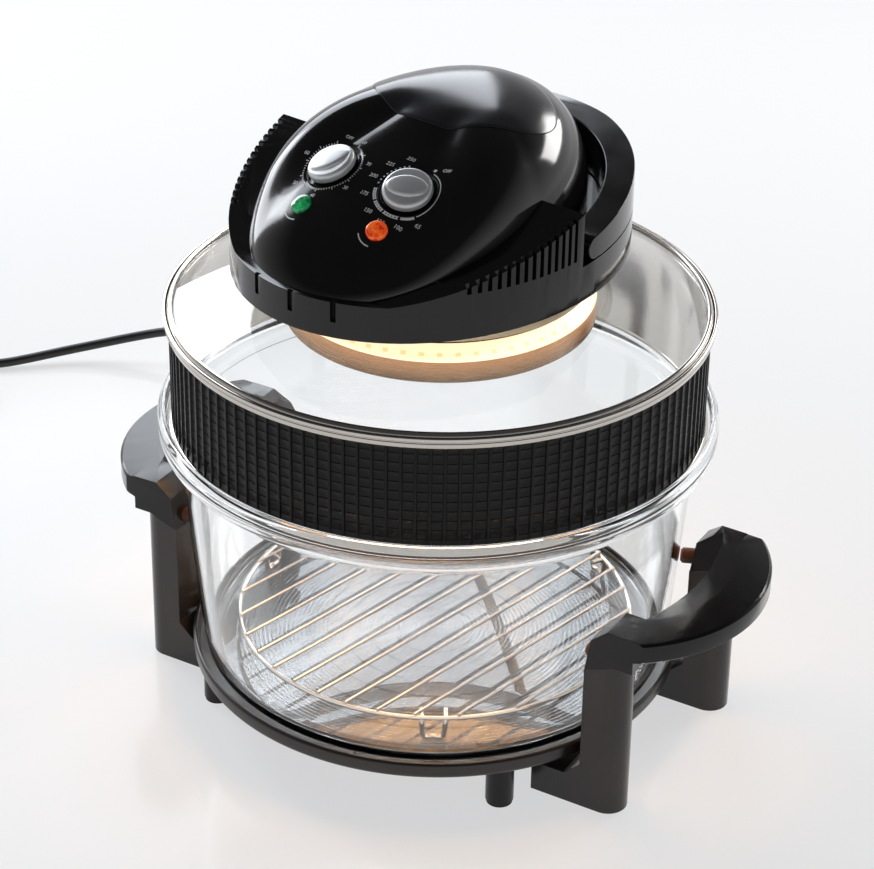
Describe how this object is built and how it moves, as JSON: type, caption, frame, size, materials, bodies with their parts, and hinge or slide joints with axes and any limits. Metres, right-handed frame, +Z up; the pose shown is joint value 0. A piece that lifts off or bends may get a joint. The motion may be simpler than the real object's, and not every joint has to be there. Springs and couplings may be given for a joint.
{
  "type": "halogen oven",
  "caption": "Halogen oven: legged stand with side grips, glass bowl, steel extender ring with rubber grid, glass lid with heater, fan, dials and folding carry handle.",
  "frame": {"origin": "on the table, under the middle of the bowl", "axes": "+Z up, -Y towards the side with the two dials, +X to the right of it through the right grip"},
  "size_m": [0.8284, 0.4331, 0.3904],
  "materials": {
    "black_plastic": "high gloss black",
    "satin_black_plastic": "satin black",
    "leg_plastic": "satin dark brown-black",
    "foot_rubber": "matt",
    "pad_rubber": "matt",
    "bumper_silicone": "matt brown silicone",
    "band_rubber": "matt black, moulded grid",
    "clear_glass": "clear, polished",
    "polished_steel": "polished stainless steel",
    "satin_steel": "satin",
    "chromed_wire": "bright chromed wire",
    "can_steel": "satin, warmed by the lamp",
    "screw_steel": "zinc plated",
    "seal_silicone": "matt grey silicone",
    "neck_plastic": "heatproof dark brown plastic",
    "quartz": "clear quartz tube with a glowing coil",
    "ceramic": "unglazed white ceramic",
    "lamination_steel": "stacked electrical steel",
    "copper_wire": "enamelled copper winding",
    "zinc_bracket": "zinc plated",
    "fan_plastic": "satin",
    "aluminium_sheet": "plain rolled",
    "brass_nut": "plain",
    "unit_case": "plated steel case",
    "knob_silver": "silver, satin",
    "copper_probe": "plain copper",
    "green_lens": "translucent green",
    "orange_lens": "translucent orange-red",
    "smoked_shield": "high gloss, lightly smoked",
    "bulb_glass": "clear",
    "terminal_nylon": "natural nylon",
    "lead_rubber": "satin black sheath",
    "pin_brass": "plain"
  },
  "bodies": {
    "stand": {"base_tray": "leg_plastic", "front_left_leg": "leg_plastic", "front_right_leg": "leg_plastic", "rear_left_leg": "leg_plastic", "rear_right_leg": "leg_plastic", "left_grip": "satin_black_plastic", "right_grip": "satin_black_plastic", "tray_feet": "leg_plastic", "foot_pads": "foot_rubber", "bowl_pads": "pad_rubber", "bowl_bumpers": "bumper_silicone", "stand_screws": "screw_steel"},
    "bowl": {"glass_bowl": "clear_glass"},
    "rack": {"cooking_rack": "chromed_wire"},
    "ring": {"extender_ring": "polished_steel", "ring_band": "band_rubber"},
    "lid": {"lid_glass": "clear_glass", "lid_rim": "polished_steel", "lid_gasket": "seal_silicone", "hub_seal": "seal_silicone", "neck_ring": "neck_plastic", "heater_can": "can_steel", "reflector_plate": "aluminium_sheet", "halogen_tube": "quartz", "lamp_holders": "ceramic", "fan_guard": "satin_steel", "head_shell": "black_plastic", "head_base": "neck_plastic", "control_hood": "black_plastic", "hood_lens": "smoked_shield", "motor_core": "lamination_steel", "motor_coil": "copper_wire", "motor_brackets": "zinc_bracket", "timer_unit": "unit_case", "thermostat_unit": "unit_case", "thermostat_probe": "copper_probe", "power_lens": "green_lens", "heat_lens": "orange_lens", "lamp_bulbs": "bulb_glass", "safety_switch": "satin_black_plastic", "terminal_block": "terminal_nylon", "handle_pins": "screw_steel", "head_screws": "screw_steel", "strain_relief": "lead_rubber", "cord_run": "lead_rubber", "cord_coil": "lead_rubber", "plug_body": "lead_rubber", "plug_pins": "pin_brass"},
    "rotor": {"motor_shaft": "satin_steel", "cooling_fan": "fan_plastic", "hot_fan": "aluminium_sheet", "fan_nut": "brass_nut"},
    "handle": {"carry_handle": "black_plastic"},
    "timer_dial": {"timer_spindle": "satin_steel", "timer_knob": "knob_silver"},
    "thermostat_dial": {"thermostat_spindle": "satin_steel", "thermostat_knob": "knob_silver"},
    "switch_button": {"switch_plunger": "terminal_nylon"}
  },
  "joints": [
    {"name": "bowl_lift", "type": "slide", "parent": "stand", "child": "bowl", "axis": [0, 0, 1], "range_m": [0, 0.16]},
    {"name": "rack_lift", "type": "slide", "parent": "bowl", "child": "rack", "axis": [0, 0, 1], "range_m": [0, 0.12]},
    {"name": "ring_lift", "type": "slide", "parent": "bowl", "child": "ring", "axis": [0, 0, 1], "range_m": [0, 0.08]},
    {"name": "lid_lift", "type": "slide", "parent": "ring", "child": "lid", "axis": [0, 0, 1], "range_m": [0, 0.12]},
    {"name": "fan_spin", "type": "hinge", "parent": "lid", "child": "rotor", "pos_m": [0, 0, 0.32], "axis": [0, 0, 1], "continuous": true},
    {"name": "handle_swing", "type": "hinge", "parent": "lid", "child": "handle", "pos_m": [-0.00368, 0.00609, 0.32739], "axis": [0.9925, -0.1219, 0], "range_deg": [0, 90]},
    {"name": "timer_turn", "type": "hinge", "parent": "lid", "child": "timer_dial", "pos_m": [-0.03809, -0.05668, 0.36185], "axis": [-0.2321, -0.3709, 0.8992], "range_deg": [-300, 0]},
    {"name": "thermostat_turn", "type": "hinge", "parent": "lid", "child": "thermostat_dial", "pos_m": [0.01451, -0.06314, 0.36185], "axis": [0.1355, -0.4161, 0.8992], "range_deg": [-290, 0]},
    {"name": "switch_travel", "type": "slide", "parent": "lid", "child": "switch_button", "axis": [0, 0, 1], "range_m": [0, 0.0021]}
  ],
  "couplings": [
    {"joint": "switch_travel", "follows": "handle_swing", "m_per_rad": 0.0012732}
  ]
}
